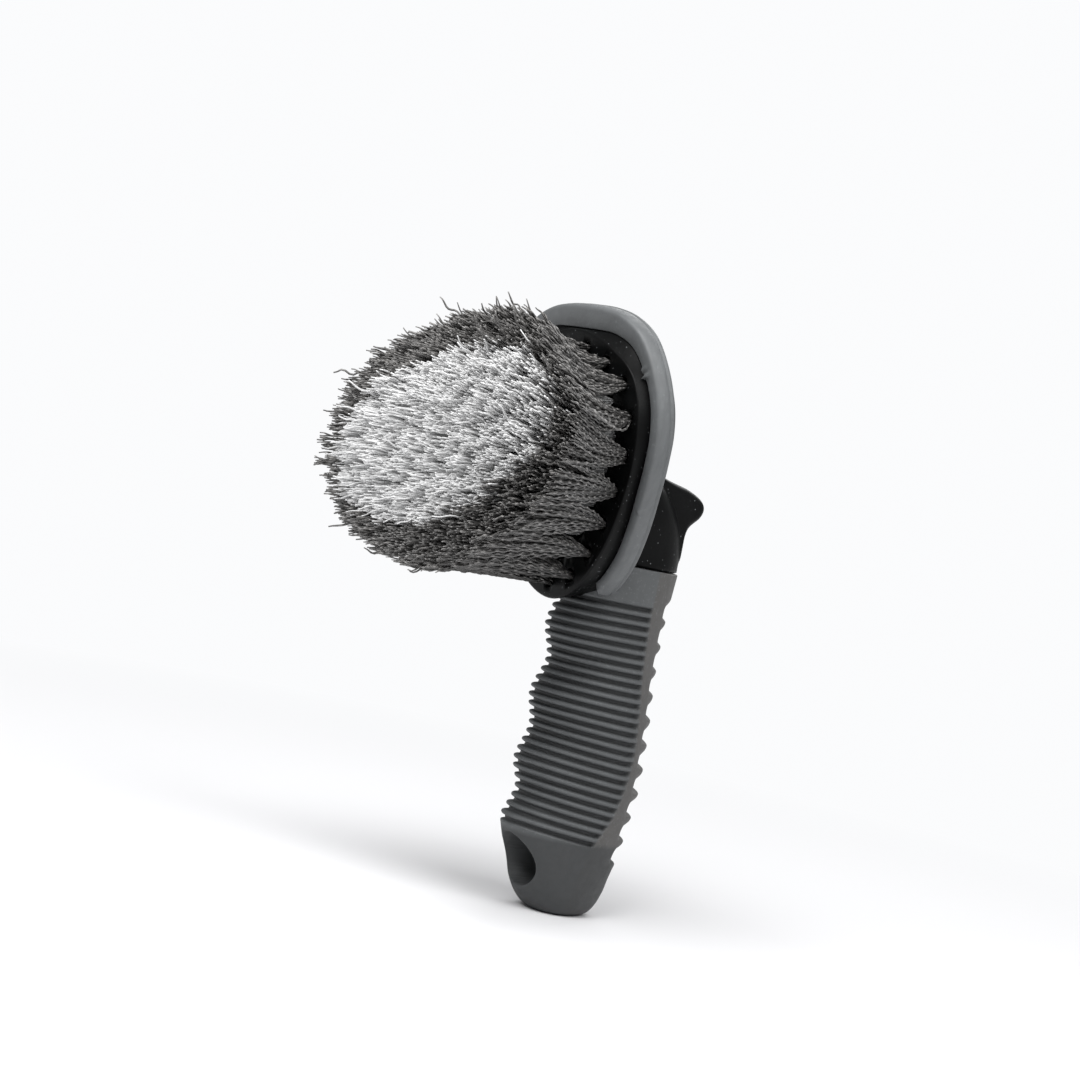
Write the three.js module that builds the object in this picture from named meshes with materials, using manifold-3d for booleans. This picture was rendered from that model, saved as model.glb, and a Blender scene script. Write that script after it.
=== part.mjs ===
// A wheel brush for car rims: an oval head full of bristle tufts, fixed on a short rubber-covered handle.
// Units are millimetres. +Z runs up the handle, the bristles point along -Y, and X = 0 is the mirror plane.
// Z = 0 is the flat end of the pommel.
import * as THREE from 'three';
import { mergeVertices } from 'three/addons/utils/BufferGeometryUtils.js';
import Module from 'manifold-3d';

const wasm = await Module();
wasm.setup();

const GAP = 0.3; // between pieces that touch on the real brush

// Heights along the handle
const POMMEL_SHOULDER_Z = 29;
const LOWEST_RIB_Z = 30;
const RIB_PITCH = 3.42;
const RIB_COUNT = 25;
const GRIP_TOP_Z = 128;
const HEAD_BASE_Z = 121; // level from which the heights on the head are measured

// Grip section along the handle: [z, depth in front of the axis, depth behind it, half width]
const GRIP_STATIONS = [
  [0, 7, 13.5, 8.5],
  [1.5, 9.8, 16.6, 11],
  [6, 14.2, 19, 13.2],
  [16, 19.8, 21.2, 15.6],
  [26, 24.4, 22.6, 17.4],
  [POMMEL_SHOULDER_Z, 25.2, 23, 18],
  [33, 24.2, 23.2, 18.4],
  [40, 21.8, 24.4, 18.8],
  [50, 25.4, 25.6, 19.2],
  [63, 21.4, 25.2, 19.2],
  [76, 24.8, 23.8, 19],
  [89, 20.2, 21.8, 18.6],
  [102, 24.6, 21, 18.4],
  [113, 21.4, 21, 18],
  [GRIP_TOP_Z, 18.5, 22.2, 17.6],
];

// The crease is the line on each side where the ribs stop and the smooth back band starts: [z, y]
const CREASE_STATIONS = [
  [0, -3], [18, -1], [28, 1], [40, 7], [52, 10], [62, 11], [76, 9], [93, 6], [110, 4.5], [GRIP_TOP_Z, 4.5],
];

const RIB = { depth: 1.3, footWidth: 2.1, topWidth: 1.1 };
const SCALLOP = { lowest: 24, pitch: 8.9, count: 11, depth: 2.5, rise: 0.68, halfAngle: 58, fade: 16 };
const HANG_HOLE = { z: 17.4, radius: 9.4, length: 80 };
const TANG = { bottom: 32, top: 140, width: 20, depth: 10, corner: 3 };

// Head. Heights h run up the bumper's tilted front plane from its origin.
const BUMPER = { tilt: 10.7, y: -22.9, z: HEAD_BASE_Z + 1.7, depth: 7.5, openAngle: 17, round: 1.4 };
// the bumper is narrow up to the first of these angles and widens up to the second
const BUMPER_WIDTH = { side: 4.6, top: 8.4, widensFrom: 100, widensTo: 170 };
const BUMPER_CENTRE_H = 52;
// distance from the centre point to the bumper's outer edge, from straight down (0) to straight up (180 degrees)
const BUMPER_RADII = [66.9, 62.4, 56.3, 50.3, 46.4, 45.3, 45.9, 46.5, 45.9, 45.9, 44.6, 42.7, 41.6];
const FACE = { tilt: 7, y: -31, edgeRound: 0.8, centreH: 38 };
// half width of the block's front face at heights above HEAD_BASE_Z
const FACE_OUTLINE = [[0, -10], [8, -8.6], [15.8, -4.6], [21.6, 1.2], [26, 6.6], [30, 12.4], [34, 20.5], [37, 28.5],
  [39.8, 38.5], [40.9, 49.7], [40.2, 59], [38.4, 65], [35.3, 70.6], [30.7, 74.8], [25.1, 77.8], [16.9, 81.4],
  [8, 83.8], [0, 84.6]];
// the rounded back of the head: how far it reaches over the bumper, then how far it has come in and risen
// at its waist, its shoulder and its flat
const DOME = { flange: 1.6, edge: 0.8, rise: 9, waist: { inset: -0.6, rise: 3.15 }, shoulder: { inset: 5, rise: 6.3 },
  flatInset: 16, rootDepth: 2, rootInset: 1 };

// Neck section, an oval: [z, y of its front, y of its back, half width]
const NECK_STATIONS = [
  [GRIP_TOP_Z + GAP, -14, 21.6, 15.8],
  [136, -16, 21, 15.6],
  [146, -18, 17.5, 15.6],
  [156, -20, 9, 15.2],
  [166, -22, -6, 14],
];
const THUMB_REST = { front: -14, top: 170, tip: { y: 25, z: 154 }, bottom: 131, width: 20, edgeRound: 3 };
// its side outline after the first point, as offsets from the tip: two control points and an end for each curve
const THUMB_CURVES = [
  [[-27, 7], [-16, 6.5], [-9, 5]],
  [[-2, 3], [1.5, 1], [0, -3]],
  [[-1.5, -7], [-6, -7], [-6.5, -14]],
];

// Tufts: rings that follow the face's outline, from the outside in
const TUFT_ROWS = [
  { count: 19, inset: 6, colour: 'dark' },
  { count: 15, inset: 15.5, colour: 'light' },
  { count: 10, inset: 25, colour: 'light' },
  { count: 5, inset: 34, colour: 'light' },
];
const TUFT = { rootRadius: 2.3, waistRadiusX: 4.5, waistRadiusZ: 3.1, tipRadiusX: 6.8, tipRadiusZ: 4.3, holeDepth: 6,
  mouth: 4, sides: 8 };
const TRIM_Y = -92; // plane of the trimmed fibre tips
// how the fibres lean: outwards to the sides, a little inwards and down from the top
const FAN = { x: 0.5, z: -0.05, down: 0.065, centreH: 37, halfWidth: 35, halfHeight: 41 };

const MATERIALS = {
  core: new THREE.MeshStandardMaterial({ color: '#121416', roughness: 0.42, metalness: 0 }),
  grip: new THREE.MeshStandardMaterial({ color: '#4b4f50', roughness: 0.68, metalness: 0 }),
  bumper: new THREE.MeshStandardMaterial({ color: '#656a69', roughness: 0.6, metalness: 0 }),
  dark: new THREE.MeshStandardMaterial({ color: '#4c4a48', roughness: 0.7, metalness: 0 }),
  light: new THREE.MeshStandardMaterial({ color: '#cfd0cf', roughness: 0.65, metalness: 0 }),
};

const radians = THREE.MathUtils.degToRad;

// ---- Small tools ----

// A smooth curve through stations [t, value, value, ...], read at any t (Catmull-Rom on uneven steps)
function curveThrough(stations) {
  return (t, column = 1) => {
    const last = stations.length - 1;
    let i = 0;
    while (i < last - 1 && t > stations[i + 1][0]) i += 1;
    const slope = (k) => {
      const a = Math.max(k - 1, 0);
      const b = Math.min(k + 1, last);
      return (stations[b][column] - stations[a][column]) / (stations[b][0] - stations[a][0]);
    };
    const span = stations[i + 1][0] - stations[i][0];
    const u = THREE.MathUtils.clamp((t - stations[i][0]) / span, 0, 1);
    const rise = 3 * u * u - 2 * u * u * u;
    return (1 - rise) * stations[i][column] + rise * stations[i + 1][column]
      + span * u * (1 - u) * ((1 - u) * slope(i) - u * slope(i + 1));
  };
}

// A closed solid through rings of points; every ring has the same number of points and goes round the same way
function loft(rings, closedLoop = false) {
  const size = rings[0].length;
  const points = rings.flat();
  const faces = [];
  const bands = closedLoop ? rings.length : rings.length - 1;
  for (let i = 0; i < bands; i += 1) {
    const next = (i + 1) % rings.length;
    for (let j = 0; j < size; j += 1) {
      const k = (j + 1) % size;
      faces.push(i * size + j, i * size + k, next * size + k);
      faces.push(i * size + j, next * size + k, next * size + j);
    }
  }
  if (!closedLoop) {
    capRing(points, faces, 0, size, true);
    capRing(points, faces, (rings.length - 1) * size, size, false);
  }
  const geometry = new THREE.BufferGeometry();
  geometry.setAttribute('position', new THREE.Float32BufferAttribute(points.flatMap((p) => p.toArray()), 3));
  geometry.setIndex(faces);
  return outwards(geometry);
}

function capRing(points, faces, first, size, flipped) {
  const centre = new THREE.Vector3();
  for (let j = 0; j < size; j += 1) centre.add(points[first + j]);
  const middle = points.push(centre.divideScalar(size)) - 1;
  for (let j = 0; j < size; j += 1) {
    const a = first + j;
    const b = first + ((j + 1) % size);
    if (flipped) faces.push(middle, b, a);
    else faces.push(middle, a, b);
  }
}

// Turns the triangles over when the solid came out inside out
function outwards(geometry) {
  const position = geometry.getAttribute('position');
  const index = geometry.getIndex().array;
  const [a, b, c] = [new THREE.Vector3(), new THREE.Vector3(), new THREE.Vector3()];
  let volume = 0;
  for (let i = 0; i < index.length; i += 3) {
    a.fromBufferAttribute(position, index[i]);
    b.fromBufferAttribute(position, index[i + 1]);
    c.fromBufferAttribute(position, index[i + 2]);
    volume += a.dot(b.cross(c));
  }
  if (volume < 0) geometry.setIndex(Array.from(index).reverse());
  return geometry;
}

function toSolid(source) {
  let geometry = source.clone();
  geometry.deleteAttribute('normal');
  geometry.deleteAttribute('uv');
  geometry = mergeVertices(geometry, 1e-3);
  return new wasm.Manifold(new wasm.Mesh({
    numProp: 3,
    vertProperties: new Float32Array(geometry.getAttribute('position').array),
    triVerts: new Uint32Array(geometry.getIndex().array),
  }));
}

function toGeometry(solid) {
  const mesh = solid.getMesh();
  const geometry = new THREE.BufferGeometry();
  geometry.setAttribute('position', new THREE.Float32BufferAttribute(mesh.vertProperties, 3));
  geometry.setIndex(Array.from(mesh.triVerts));
  return geometry;
}

function named(name, geometry, material) {
  geometry.computeVertexNormals();
  const mesh = new THREE.Mesh(geometry, material);
  mesh.name = name;
  return mesh;
}

// ---- Handle ----

const gripSection = curveThrough(GRIP_STATIONS);
const creaseY = curveThrough(CREASE_STATIONS);

// A point on the grip: angle 0 is the middle of the front, 180 the middle of the back
function gripPoint(z, angle, sunk) {
  const a = radians(angle);
  const depth = Math.cos(a) > 0 ? gripSection(z, 1) : gripSection(z, 2);
  const width = gripSection(z, 3);
  return new THREE.Vector3((width - sunk) * Math.sin(a), -(depth - sunk) * Math.cos(a), z);
}

function creaseAngle(z) {
  return 90 + THREE.MathUtils.radToDeg(Math.asin(creaseY(z) / gripSection(z, 2)));
}

// Notches across the spine: above each one the back rises slowly to a bump, then drops into the next notch
function scallopDepth(z, angle) {
  const { lowest, pitch, count, depth, rise, halfAngle, fade } = SCALLOP;
  const along = (z - lowest) / pitch;
  if (along < rise - 1 || along > count - 1 + rise) return 0;
  const phase = along - Math.floor(along);
  const low = phase < rise ? 1 - phase / rise : (phase - rise) / (1 - rise);
  const across = THREE.MathUtils.clamp((halfAngle - Math.abs(180 - angle)) / fade, 0, 1);
  return depth * (0.5 - 0.5 * Math.cos(Math.PI * low)) * across;
}

// Sides of one grip ring, from the front round to the back, then mirrored
const RIBBED_STEPS = 8;
const BAND_STEPS = 8;
const WALL_ANGLE = 2;
const POMMEL_LEVELS = [0, 0.7, 1.5, 3.5, 6, 10, 14, 18, 22, 25.5];

function gripRing(z, ribSunk) {
  const crease = creaseAngle(z);
  const side = [];
  for (let i = 0; i <= RIBBED_STEPS; i += 1) side.push(gripPoint(z, (crease * i) / RIBBED_STEPS, ribSunk));
  for (let i = 0; i <= BAND_STEPS; i += 1) {
    const angle = crease + WALL_ANGLE + ((180 - crease - WALL_ANGLE) * i) / BAND_STEPS;
    side.push(gripPoint(z, angle, scallopDepth(z, angle)));
  }
  const mirrored = side.slice(1, -1).reverse().map((p) => new THREE.Vector3(-p.x, p.y, p.z));
  return [...side, ...mirrored];
}

function gripRings() {
  const rings = [];
  for (const z of POMMEL_LEVELS) rings.push(gripRing(z, 0));
  rings.push(gripRing(LOWEST_RIB_Z - RIB_PITCH + RIB.footWidth / 2, 0));
  for (let i = 0; i < RIB_COUNT; i += 1) {
    const z = LOWEST_RIB_Z + i * RIB_PITCH;
    rings.push(gripRing(z - RIB.footWidth / 2, RIB.depth));
    rings.push(gripRing(z - RIB.topWidth / 2, 0));
    rings.push(gripRing(z + RIB.topWidth / 2, 0));
    rings.push(gripRing(z + RIB.footWidth / 2, RIB.depth));
  }
  const topRib = LOWEST_RIB_Z + (RIB_COUNT - 1) * RIB_PITCH;
  rings.push(gripRing(topRib + RIB_PITCH - RIB.footWidth / 2, RIB.depth));
  rings.push(gripRing(topRib + RIB_PITCH - RIB.topWidth / 2, 0));
  rings.push(gripRing((topRib + RIB_PITCH + GRIP_TOP_Z) / 2, 0));
  rings.push(gripRing(GRIP_TOP_Z, 0));
  return rings;
}

function roundedBar(width, depth, corner, bottom, top) {
  const shape = new THREE.Shape();
  const x = width / 2;
  const y = depth / 2;
  shape.moveTo(-x + corner, -y);
  shape.lineTo(x - corner, -y);
  shape.absarc(x - corner, -y + corner, corner, -Math.PI / 2, 0);
  shape.lineTo(x, y - corner);
  shape.absarc(x - corner, y - corner, corner, 0, Math.PI / 2);
  shape.lineTo(-x + corner, y);
  shape.absarc(-x + corner, y - corner, corner, Math.PI / 2, Math.PI);
  shape.lineTo(-x, -y + corner);
  shape.absarc(-x + corner, -y + corner, corner, Math.PI, Math.PI * 1.5);
  const bar = new THREE.ExtrudeGeometry(shape, { depth: top - bottom, bevelEnabled: false, curveSegments: 4 });
  return bar.translate(0, 0, bottom);
}

function hangHole() {
  const { radius, length, z } = HANG_HOLE;
  return new THREE.CylinderGeometry(radius, radius, length, 32).translate(0, 0, z);
}

function gripGeometry() {
  const pocket = roundedBar(TANG.width + 2 * GAP, TANG.depth + 2 * GAP, TANG.corner, TANG.bottom - GAP, TANG.top);
  const solid = toSolid(loft(gripRings()))
    .subtract(toSolid(pocket))
    .subtract(toSolid(hangHole()))
    .subtract(toSolid(headClearance()));
  return toGeometry(solid);
}

// ---- Head ----

const HEAD_SIDES = 48;
const ROOM = 200; // a box larger than the head

// A point of the bumper's outline: x across, h up the front plane; angle 0 is straight down
function bumperOutline(angle, inward) {
  const step = 180 / (BUMPER_RADII.length - 1);
  const stations = [];
  for (let i = -1; i <= BUMPER_RADII.length; i += 1) {
    const mirrored = i < 0 ? 1 : i;
    const k = mirrored < BUMPER_RADII.length ? mirrored : BUMPER_RADII.length - 2;
    stations.push([i * step, BUMPER_RADII[k]]);
  }
  const folded = Math.abs(((angle + 180) % 360) - 180);
  const radius = curveThrough(stations)(folded) - inward;
  return { x: radius * Math.sin(radians(angle)), h: BUMPER_CENTRE_H - radius * Math.cos(radians(angle)) };
}

// From the bumper's front plane into space; back is measured behind the plane
function onBumperPlane(x, h, back) {
  const t = radians(BUMPER.tilt);
  return new THREE.Vector3(
    x,
    BUMPER.y - h * Math.sin(t) + back * Math.cos(t),
    BUMPER.z + h * Math.cos(t) + back * Math.sin(t),
  );
}

// A ring round the head at one depth: measured inward from the bumper's outer edge, or from its inner edge
function outerRing(inward, back) {
  return ringOf((angle) => {
    const p = bumperOutline(angle, inward);
    return onBumperPlane(p.x, p.h, back);
  });
}

function rimRing(inward, back) {
  return ringOf((angle) => {
    const p = bumperOutline(angle, bumperWidth(angle) + inward);
    return onBumperPlane(p.x, p.h, back);
  });
}

function ringOf(pointAt) {
  return Array.from({ length: HEAD_SIDES }, (_, i) => pointAt((i * 360) / HEAD_SIDES));
}

function bumperWidth(angle) {
  const { side, top, widensFrom, widensTo } = BUMPER_WIDTH;
  const folded = Math.min(angle, 360 - angle);
  return THREE.MathUtils.lerp(side, top, THREE.MathUtils.smoothstep(folded, widensFrom, widensTo));
}

function faceY(height) {
  return FACE.y - height * Math.tan(radians(FACE.tilt));
}

function onFace(x, height) {
  return new THREE.Vector3(x, faceY(height), HEAD_BASE_Z + height);
}

// The face outline as a closed curve, from the bottom middle up the +X side, shrunk towards the face's centre
function faceCurve(inset) {
  const right = FACE_OUTLINE.map(([x, height]) => {
    const rise = height - FACE.centreH;
    const reach = Math.hypot(x, rise);
    const scale = (reach - inset) / reach;
    return onFace(x * scale, FACE.centreH + rise * scale);
  });
  const left = right.slice(1, -1).reverse().map((p) => new THREE.Vector3(-p.x, p.y, p.z));
  return new THREE.CatmullRomCurve3([...right, ...left], true, 'centripetal');
}

const FACE_SAMPLES = 720;

// Points of the face outline at the same angles as the bumper's rings
function faceRing(inset, back) {
  const dense = faceCurve(inset).getSpacedPoints(FACE_SAMPLES);
  const centreZ = HEAD_BASE_Z + BUMPER_CENTRE_H;
  return ringOf((angle) => {
    const wanted = radians(angle);
    const miss = (p) => Math.abs(Math.sin((Math.atan2(p.x, centreZ - p.z) - wanted) / 2));
    const nearest = dense.reduce((best, p) => (miss(p) < miss(best) ? p : best));
    return nearest.clone().add(new THREE.Vector3(0, back, 0));
  });
}

function blockFront() {
  return loft([
    faceRing(FACE.edgeRound, 0),
    faceRing(0, FACE.edgeRound),
    rimRing(GAP, 0),
    rimRing(GAP, BUMPER.depth),
  ]);
}

// The rounded back of the head; it stops where the grip starts
function blockBack() {
  const back = BUMPER.depth + GAP;
  const { flange, edge, waist, shoulder } = DOME;
  const dome = loft([
    rimRing(GAP + DOME.rootInset, BUMPER.depth - DOME.rootDepth),
    rimRing(GAP + DOME.rootInset, back),
    rimRing(edge - flange, back),
    rimRing(-flange, back + edge),
    rimRing(waist.inset, back + waist.rise),
    rimRing(shoulder.inset, back + shoulder.rise),
    rimRing(DOME.flatInset, back + DOME.rise),
  ]);
  const above = new THREE.BoxGeometry(ROOM, ROOM, ROOM).translate(0, 0, GRIP_TOP_Z + GAP + ROOM / 2);
  return toSolid(dome).intersect(toSolid(above));
}

const NECK_SIDES = 32;

function neck() {
  const section = curveThrough(NECK_STATIONS);
  return loft(NECK_STATIONS.map(([z]) => Array.from({ length: NECK_SIDES }, (_, i) => {
    const a = (i * 2 * Math.PI) / NECK_SIDES;
    const middle = (section(z, 1) + section(z, 2)) / 2;
    const halfDepth = (section(z, 2) - section(z, 1)) / 2;
    return new THREE.Vector3(section(z, 3) * Math.sin(a), middle - halfDepth * Math.cos(a), z);
  })));
}

// A tongue behind the head for the thumb: its side outline is drawn as y, z and given a rounded edge
function thumbRest() {
  const { front, top, tip, bottom } = THUMB_REST;
  const outline = new THREE.Shape();
  outline.moveTo(front, bottom);
  outline.lineTo(front, top);
  for (const curve of THUMB_CURVES) {
    outline.bezierCurveTo(...curve.flatMap(([y, z]) => [tip.y + y, tip.z + z]));
  }
  outline.lineTo(outline.currentPoint.x, bottom);
  outline.closePath();
  const edge = THUMB_REST.edgeRound;
  const tongue = new THREE.ExtrudeGeometry(outline, {
    depth: THUMB_REST.width - 2 * edge,
    bevelThickness: edge,
    bevelSize: edge,
    bevelOffset: -edge,
    bevelSegments: 5,
    curveSegments: 8,
  });
  tongue.translate(0, 0, -(THUMB_REST.width - 2 * edge) / 2);
  const axes = new THREE.Matrix4().makeBasis(
    new THREE.Vector3(0, 1, 0),
    new THREE.Vector3(0, 0, 1),
    new THREE.Vector3(1, 0, 0),
  );
  return tongue.applyMatrix4(axes);
}

function tang() {
  return roundedBar(TANG.width, TANG.depth, TANG.corner, TANG.bottom, TANG.top);
}

function coreGeometry(tufts) {
  let solid = toSolid(blockFront()).add(blockBack());
  for (const limb of [neck(), thumbRest(), tang()]) solid = solid.add(toSolid(limb));
  for (const tuft of tufts) solid = solid.subtract(toSolid(tuftHole(tuft)));
  return toGeometry(solid);
}

// Everything in front of and around the bumper, with its gap: what the grip must stay clear of
const CLEARANCE_DEPTH = 40;

function headClearance() {
  return loft([outerRing(-GAP, BUMPER.depth + GAP), outerRing(-GAP, -CLEARANCE_DEPTH)]);
}

const BUMPER_STEPS = 44;

// The bumper is a horseshoe: a rounded section swept round the head, open at the bottom
function bumperGeometry() {
  const sweep = 360 - 2 * BUMPER.openAngle;
  return loft(Array.from({ length: BUMPER_STEPS + 1 }, (_, i) => (
    bumperSection(BUMPER.openAngle + (sweep * i) / BUMPER_STEPS))));
}

function bumperSection(angle) {
  const width = bumperWidth(angle);
  const depth = BUMPER.depth;
  const round = BUMPER.round;
  const nearlyOut = round * 0.25;
  const outline = [[width, 0], [round, 0], [nearlyOut, round - nearlyOut], [0, depth / 2],
    [nearlyOut, depth - round + nearlyOut], [round, depth], [width, depth]];
  return outline.map(([inward, back]) => {
    const p = bumperOutline(angle, inward);
    return onBumperPlane(p.x, p.h, back);
  });
}

// ---- Bristle tufts ----

// Where each tuft stands on the face, which way its fibres lean and how long they are
function layOutTufts() {
  return TUFT_ROWS.flatMap((row, rowNumber) => {
    const curve = faceCurve(row.inset);
    return Array.from({ length: row.count }, (_, i) => {
      const share = ((i + (rowNumber % 2) / 2) / row.count) % 1;
      const root = curve.getPointAt(share);
      const lean = new THREE.Vector3(
        (FAN.x * root.x) / FAN.halfWidth,
        -1,
        (FAN.z * (root.z - HEAD_BASE_Z - FAN.centreH)) / FAN.halfHeight - FAN.down,
      );
      const number = String(i + 1).padStart(2, '0');
      return { name: `tuft_row${rowNumber + 1}_${number}`, root, lean, colour: row.colour };
    });
  });
}

// A point beside a tuft's axis, at a depth along -Y from the root (negative depths are in the hole)
function besideTuft(tuft, along, radiusX, radiusZ, turn) {
  return tuft.root.clone()
    .addScaledVector(tuft.lean, along)
    .add(new THREE.Vector3(radiusX * Math.cos(turn), 0, radiusZ * Math.sin(turn)));
}

function tuftRing(tuft, along, radiusX, radiusZ) {
  return Array.from({ length: TUFT.sides }, (_, i) => (
    besideTuft(tuft, along, radiusX, radiusZ, (i * 2 * Math.PI) / TUFT.sides)));
}

function tuftGeometry(tuft) {
  const length = tuft.root.y - TRIM_Y;
  return loft([
    tuftRing(tuft, GAP - TUFT.holeDepth, TUFT.rootRadius, TUFT.rootRadius),
    tuftRing(tuft, 1, TUFT.rootRadius, TUFT.rootRadius),
    tuftRing(tuft, length / 2, TUFT.waistRadiusX, TUFT.waistRadiusZ),
    tuftRing(tuft, length, TUFT.tipRadiusX, TUFT.tipRadiusZ),
  ]);
}

function tuftHole(tuft) {
  const radius = TUFT.rootRadius + GAP;
  return loft([tuftRing(tuft, -TUFT.holeDepth, radius, radius), tuftRing(tuft, TUFT.mouth, radius, radius)]);
}

// ---- The brush ----

const tufts = layOutTufts();
const brush = new THREE.Group();
brush.add(named('core', coreGeometry(tufts), MATERIALS.core));
brush.add(named('grip', gripGeometry(), MATERIALS.grip));
brush.add(named('bumper', bumperGeometry(), MATERIALS.bumper));
for (const tuft of tufts) brush.add(named(tuft.name, tuftGeometry(tuft), MATERIALS[tuft.colour]));

export default brush;
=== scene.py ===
"""A wheel brush for car rims, finished in Blender around its CAD frame.

Every piece is built here in mesh code: the ribbed rubber grip, the black plastic core, the rubber bumper
and one piece of crimped fibres for each tuft. Lengths are in millimetres until a mesh is made, and in metres
after that.
"""
import math

import bmesh
import bpy
import numpy as np
from mathutils import Matrix, Vector


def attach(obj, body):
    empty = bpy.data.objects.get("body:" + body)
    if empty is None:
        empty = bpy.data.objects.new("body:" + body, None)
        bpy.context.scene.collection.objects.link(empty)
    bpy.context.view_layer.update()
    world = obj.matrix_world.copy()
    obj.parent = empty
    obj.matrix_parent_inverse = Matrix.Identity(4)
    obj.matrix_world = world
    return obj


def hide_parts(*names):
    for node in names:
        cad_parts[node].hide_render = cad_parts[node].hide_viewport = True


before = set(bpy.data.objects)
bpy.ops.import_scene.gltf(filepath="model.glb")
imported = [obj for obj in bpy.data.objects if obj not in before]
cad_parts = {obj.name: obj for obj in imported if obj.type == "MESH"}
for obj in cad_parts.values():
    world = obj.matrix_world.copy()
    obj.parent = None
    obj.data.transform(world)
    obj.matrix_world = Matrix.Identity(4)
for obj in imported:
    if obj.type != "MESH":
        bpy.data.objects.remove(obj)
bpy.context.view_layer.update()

MM = 0.001
HEAD_BASE_Z = 121.0

# Handle: heights, then the grip's section as [z, depth in front of the axis, depth behind it, half width]
POMMEL_SHOULDER_Z = 29.0
LOWEST_RIB_Z = 30.0
RIB_PITCH = 3.42
RIB_COUNT = 25
GRIP_TOP_Z = 128.0
GRIP_STATIONS = [
    [0, 7, 13.5, 8.5], [1.5, 9.8, 16.6, 11], [6, 14.4, 19.6, 13.2], [16, 20.5, 22.2, 15.6],
    [26, 25.4, 23.7, 17.4], [29, 26.2, 24, 18], [33, 24.4, 24.4, 18.4], [40, 21.8, 25.3, 18.8],
    [50, 25.4, 26.1, 19.2], [63, 21.4, 25.2, 19.2], [76, 24.8, 23.8, 19], [89, 20.2, 21.8, 18.6],
    [102, 24.6, 21, 18.4], [113, 21.4, 21, 18], [128, 18.5, 22.2, 17.6],
]
# the crease on each side where the ribs stop and the smooth back band starts: [z, y]
CREASE_STATIONS = [
    [0, -3], [18, -1], [28, 1], [40, 7], [52, 10], [62, 11], [76, 9], [93, 6], [110, 4.5], [128, 4.5],
]
RIB_DEPTH = 1.9
RIB_SHARE = 0.64  # how much of the pitch a rib takes
RIB_CROWN = {"steep": 2.4, "round": 0.6}  # exponents of a rib's section
# how much higher a rib runs at the front than at the crease, between which heights this starts and fades, how
# far forward it is at its most, and its share of that behind the axis
RIB_LIFT = {"most": 2.8, "starts": (8, 28), "fades": (40, 112), "full_y": 24, "least": -0.3}
# notches across the spine; the low ones are deeper, up to the heights where that ends
SCALLOP = {
    "lowest": 24.0, "pitch": 8.9, "count": 11, "depth": 2.5, "rise": 0.68, "half_angle": 58.0, "fade": 16.0,
    "deeper_low": 0.9, "deeper_ends": (40, 75),
}
HANG_HOLE = {"z": 17.4, "radius": 9.4, "rim": 1.1, "sides": 96, "reach": 40.0}
GRIP_EDGE = 0.5  # rounding at both ends of the grip

# Head: heights h run up the bumper's tilted front plane from its origin
BUMPER = {"tilt": 10.7, "y": -22.9, "z": HEAD_BASE_Z + 1.7, "depth": 7.5, "open": 17.0}
# the bumper is narrow at its sides and widens towards the top between two angles
BUMPER_WIDTH = {"side": 4.6, "top": 8.4, "widens": (100, 170)}
BUMPER_CENTRE_H = 52.0
# distance from the centre point to the bumper's outer edge, from straight down (0) to straight up (180)
BUMPER_RADII = [66.9, 62.4, 56.3, 50.3, 46.4, 45.3, 45.9, 46.5, 46.8, 46.9, 44.9, 42.5, 41.4]
FACE = {"tilt": 7.0, "y": -31.0, "round": 0.8, "centre_h": 38.0, "insets": (20, 8, 1.6)}
FACE_OUTLINE = [
    [0, -10], [8, -8.6], [15.8, -4.6], [21.6, 1.2], [26, 6.6], [30, 12.4], [34, 20.5], [37, 28.5],
    [39.8, 38.5], [40.9, 49.7], [40.2, 59], [38.4, 65], [35.3, 70.6], [30.7, 74.8], [25.1, 77.8],
    [16.9, 81.4], [8, 83.8], [0, 84.6],
]
# the rounded back of the head: its flange over the bumper, its rise and its flat, and the foot it stands on
DOME = {
    "flange": 1.6, "edge": 0.8, "rise": 9.0, "flat_inset": 16.0, "roundness": 1.6, "foot_inset": 1,
    "foot_depth": 2,
}
GAP = 0.3
NECK_STATIONS = [
    [128.3, -14, 21.6, 15.8], [136, -16, 21, 15.6], [146, -18, 17.5, 15.6], [156, -20, 9, 15.2],
    [166, -22, -6, 14],
]
THUMB_REST = {
    "front": -14.0, "top": 170.0, "tip": (25.0, 154.0), "bottom": 131.0, "width": 20.0, "edge": 3.0,
}
# its side outline from the top of its front, as offsets from the tip: two control points and an end for each
# curve
THUMB_CURVES = [
    [(-27, 7), (-16, 6.5), (-9, 5)],
    [(-2, 3), (1.5, 1), (0, -3)],
    [(-1.5, -7), (-6, -7), (-6.5, -14)],
    [(-6.5, -18), (-6.5, -21), (-6.5, -23)],
]
CORE_SKIN = {"voxel": 0.55, "rounds": 5}  # how finely the core's limbs are melted together

# Fibres
FIBRE = {"total": 11500, "radius": 0.4, "sides": 3, "steps": 46, "wave": 7.4, "uneven": 1.1, "longest": 7.5}
# a few fibres stand out: what share of them, how far astray, how much longer, more crimped, more curled and
# more turned outwards, and how far up or down the oval that turning starts and is full
WILD = {
    "share": 0.05, "astray": 1.5, "longer": 2.2, "crimp": 1.4, "curl": 1.8, "outward": 1.5,
    "outside": (0.5, 0.9),
}
# how much any two fibres differ: how soon they leave the bundle, the plane of the crimp in radians, its wave
# and its size, the bend, the curl and the thickness
VARIETY = {
    "haste": (1.0, 1.9), "plane": 0.5, "wave": 0.05, "crimp": (0.7, 1.3), "bend": 0.8, "curl": 0.4,
    "thickness": (0.8, 1.15),
}
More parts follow.
